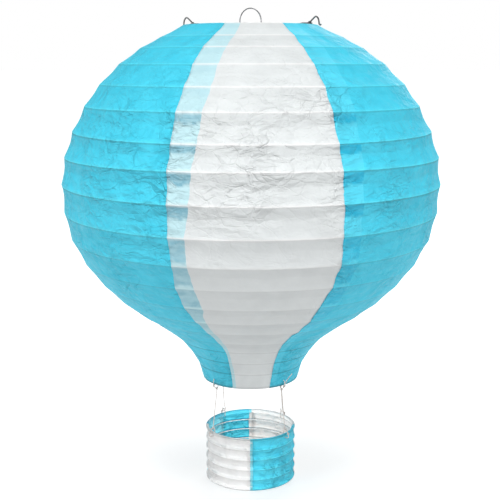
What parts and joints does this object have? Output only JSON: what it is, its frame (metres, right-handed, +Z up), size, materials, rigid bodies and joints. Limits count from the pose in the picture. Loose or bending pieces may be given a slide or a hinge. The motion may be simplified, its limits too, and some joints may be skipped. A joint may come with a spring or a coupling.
{
  "type": "hot air balloon paper lantern",
  "caption": "Hanging paper lantern shaped like a hot air balloon, white and blue gores over wire hoops, with a wire frame inside and a small paper basket on strings.",
  "frame": {"origin": "inside the top of the hanging eye, on the lantern's axis, where a hook or ceiling line takes it", "axes": "+Z up along the lantern's axis, -Y to the front where a white gore faces, +X to the lantern's right as seen from the front"},
  "size_m": [0.299, 0.3, 0.384],
  "materials": {
    "paper_white": "thin crinkled paper, matt",
    "paper_blue": "thin crinkled paper, matt",
    "hoop_wire": "thin bright wire",
    "frame_wire": "dark plain wire",
    "eye_wire": "grey plain wire",
    "string": "white twisted string"
  },
  "bodies": {
    "lantern": {"gore_white_front": "paper_white", "gore_blue_right": "paper_blue", "gore_white_back_right": "paper_white", "gore_blue_back": "paper_blue", "gore_white_back_left": "paper_white", "gore_blue_left": "paper_blue", "top_ring": "hoop_wire", "mouth_ring": "hoop_wire", "envelope_hoop_01": "hoop_wire", "envelope_hoop_02": "hoop_wire", "envelope_hoop_03": "hoop_wire", "envelope_hoop_04": "hoop_wire", "envelope_hoop_05": "hoop_wire", "envelope_hoop_06": "hoop_wire", "envelope_hoop_07": "hoop_wire", "envelope_hoop_08": "hoop_wire", "envelope_hoop_09": "hoop_wire", "envelope_hoop_10": "hoop_wire", "envelope_hoop_11": "hoop_wire", "envelope_hoop_12": "hoop_wire", "envelope_hoop_13": "hoop_wire", "envelope_hoop_14": "hoop_wire", "envelope_hoop_15": "hoop_wire", "envelope_hoop_16": "hoop_wire", "envelope_hoop_17": "hoop_wire", "envelope_hoop_18": "hoop_wire", "frame_leg_left": "frame_wire", "frame_leg_right": "frame_wire", "frame_bar": "frame_wire", "hanging_eye": "eye_wire"},
    "mouth_tie_front_left": {"mouth_tie_front_left": "string"},
    "string_front_left": {"string_front_left": "string"},
    "mouth_tie_front_right": {"mouth_tie_front_right": "string"},
    "string_front_right": {"string_front_right": "string"},
    "mouth_tie_back_right": {"mouth_tie_back_right": "string"},
    "string_back_right": {"string_back_right": "string"},
    "mouth_tie_back_left": {"mouth_tie_back_left": "string"},
    "string_back_left": {"string_back_left": "string"},
    "basket_tie_front_left": {"basket_tie_front_left": "string"},
    "basket": {"basket_panel_blue_right": "paper_blue", "basket_panel_white_back": "paper_white", "basket_panel_blue_back": "paper_blue", "basket_panel_white_left": "paper_white", "basket_rim_hoop": "hoop_wire", "basket_hoop_1": "hoop_wire", "basket_hoop_2": "hoop_wire", "basket_hoop_3": "hoop_wire", "basket_hoop_4": "hoop_wire", "basket_hoop_5": "hoop_wire", "basket_tie_front_right": "string", "basket_tie_back_right": "string", "basket_tie_back_left": "string"}
  },
  "joints": [
    {"name": "swing_sideways", "type": "hinge", "parent": "lantern", "child": "mouth_tie_front_left", "pos_m": [-0.02716, -0.02623, -0.29591], "axis": [0, 1, 0], "range_deg": [-12, 12]},
    {"name": "swing_fore_and_aft", "type": "hinge", "parent": "mouth_tie_front_left", "child": "string_front_left", "pos_m": [-0.0273, -0.02636, -0.30031], "axis": [1, 0, 0], "range_deg": [-12, 12]},
    {"name": "basket_level_fore_and_aft", "type": "hinge", "parent": "string_front_left", "child": "basket_tie_front_left", "pos_m": [-0.03053, -0.01982, -0.3362], "axis": [1, 0, 0], "range_deg": [-14.1, 14.1]},
    {"name": "basket_level_sideways", "type": "hinge", "parent": "basket_tie_front_left", "child": "basket", "pos_m": [-0.03036, -0.01972, -0.3406], "axis": [0, 1, 0], "range_deg": [-10.8, 10.8]},
    {"name": "front_right_tie_turn", "type": "hinge", "parent": "lantern", "child": "mouth_tie_front_right", "pos_m": [0.02477, -0.02849, -0.29591], "axis": [0, 1, 0], "range_deg": [-13.3, 13.3]},
    {"name": "front_right_string_turn", "type": "hinge", "parent": "mouth_tie_front_right", "child": "string_front_right", "pos_m": [0.0249, -0.02864, -0.30031], "axis": [1, 0, 0], "range_deg": [-12.1, 12.1]},
    {"name": "back_right_tie_turn", "type": "hinge", "parent": "lantern", "child": "mouth_tie_back_right", "pos_m": [0.02575, 0.02761, -0.29591], "axis": [0, 1, 0], "range_deg": [-13.3, 13.3]},
    {"name": "back_right_string_turn", "type": "hinge", "parent": "mouth_tie_back_right", "child": "string_back_right", "pos_m": [0.02588, 0.02776, -0.30031], "axis": [1, 0, 0], "range_deg": [-12.1, 12.1]},
    {"name": "back_left_tie_turn", "type": "hinge", "parent": "lantern", "child": "mouth_tie_back_left", "pos_m": [-0.02427, 0.02892, -0.29591], "axis": [0, 1, 0], "range_deg": [-13.3, 13.3]},
    {"name": "back_left_string_turn", "type": "hinge", "parent": "mouth_tie_back_left", "child": "string_back_left", "pos_m": [-0.0244, 0.02908, -0.30031], "axis": [1, 0, 0], "range_deg": [-12.1, 12.1]}
  ],
  "couplings": [
    {"joint": "basket_level_fore_and_aft", "follows": "swing_fore_and_aft", "ratio": -1.17},
    {"joint": "basket_level_sideways", "follows": "swing_sideways", "ratio": -0.893},
    {"joint": "front_right_tie_turn", "follows": "swing_sideways", "ratio": 1.1},
    {"joint": "front_right_string_turn", "follows": "swing_fore_and_aft", "ratio": 1},
    {"joint": "back_right_tie_turn", "follows": "swing_sideways", "ratio": 1.1},
    {"joint": "back_right_string_turn", "follows": "swing_fore_and_aft", "ratio": 1},
    {"joint": "back_left_tie_turn", "follows": "swing_sideways", "ratio": 1.1},
    {"joint": "back_left_string_turn", "follows": "swing_fore_and_aft", "ratio": 1}
  ]
}
